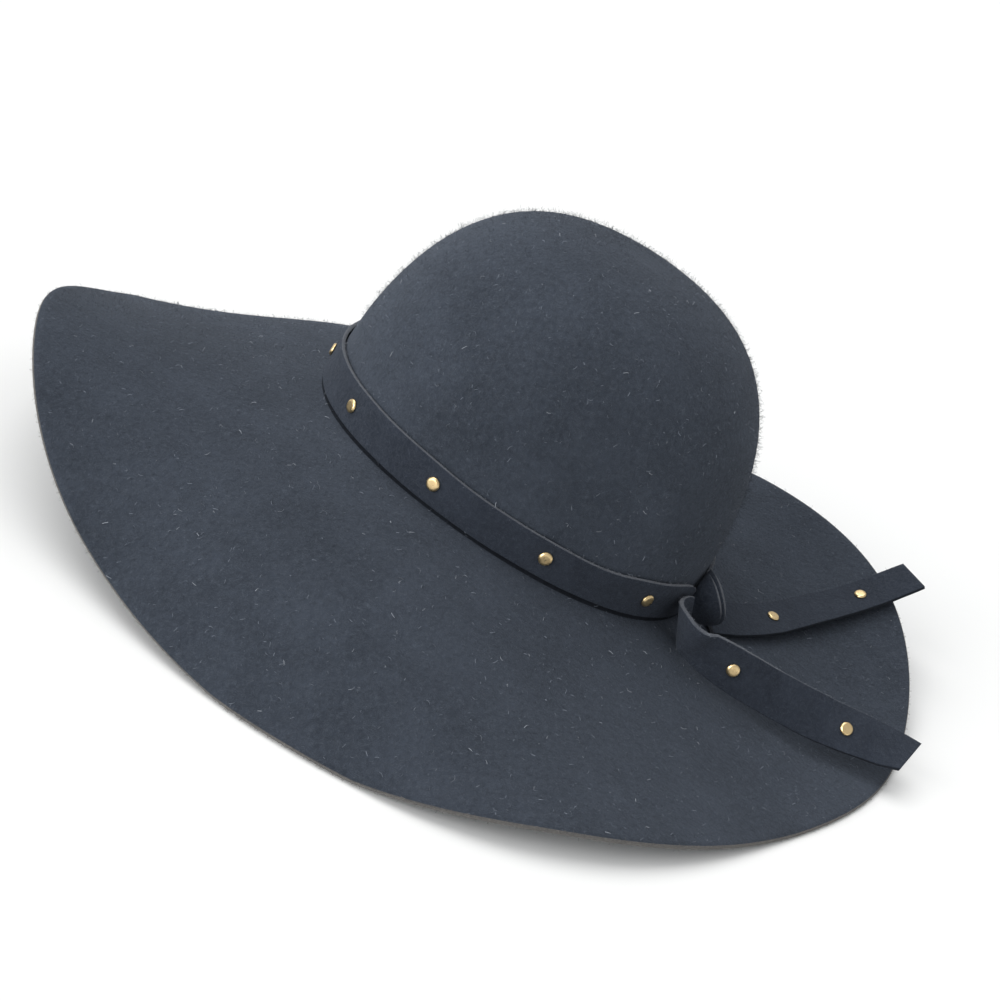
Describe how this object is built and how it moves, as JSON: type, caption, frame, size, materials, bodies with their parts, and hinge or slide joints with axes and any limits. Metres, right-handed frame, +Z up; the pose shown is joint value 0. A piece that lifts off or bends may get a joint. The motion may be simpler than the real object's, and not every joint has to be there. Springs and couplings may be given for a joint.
{
  "type": "floppy hat",
  "caption": "Wide-brimmed floppy hat of blocked wool felt with a round crown and a studded felt strap knotted round it, its two ends lying over the brim",
  "frame": {"origin": "on the plane the hat rests on, under the middle of its bounding box", "axes": "+Z up from the resting plane; the head opening's length runs along X, with the hat's front at -X and its back, where the strap is knotted, at +X"},
  "size_m": [0.425, 0.406, 0.1606],
  "materials": {
    "felt": "blocked wool felt, matt, short loose fibres",
    "strap": "flat wool felt strap, raw cut edges",
    "stud": "polished rivet cap with a bevelled rim"
  },
  "bodies": {
    "root": {"felt_body": "felt", "hat_band": "strap", "band_knot": "strap", "tail_front": "strap", "tail_back": "strap", "stud_01": "stud", "stud_02": "stud", "stud_03": "stud", "stud_04": "stud", "stud_05": "stud", "stud_06": "stud", "stud_07": "stud", "stud_08": "stud", "stud_09": "stud", "stud_10": "stud", "stud_11": "stud", "stud_12": "stud", "stud_13": "stud", "stud_14": "stud"}
  },
  "joints": []
}
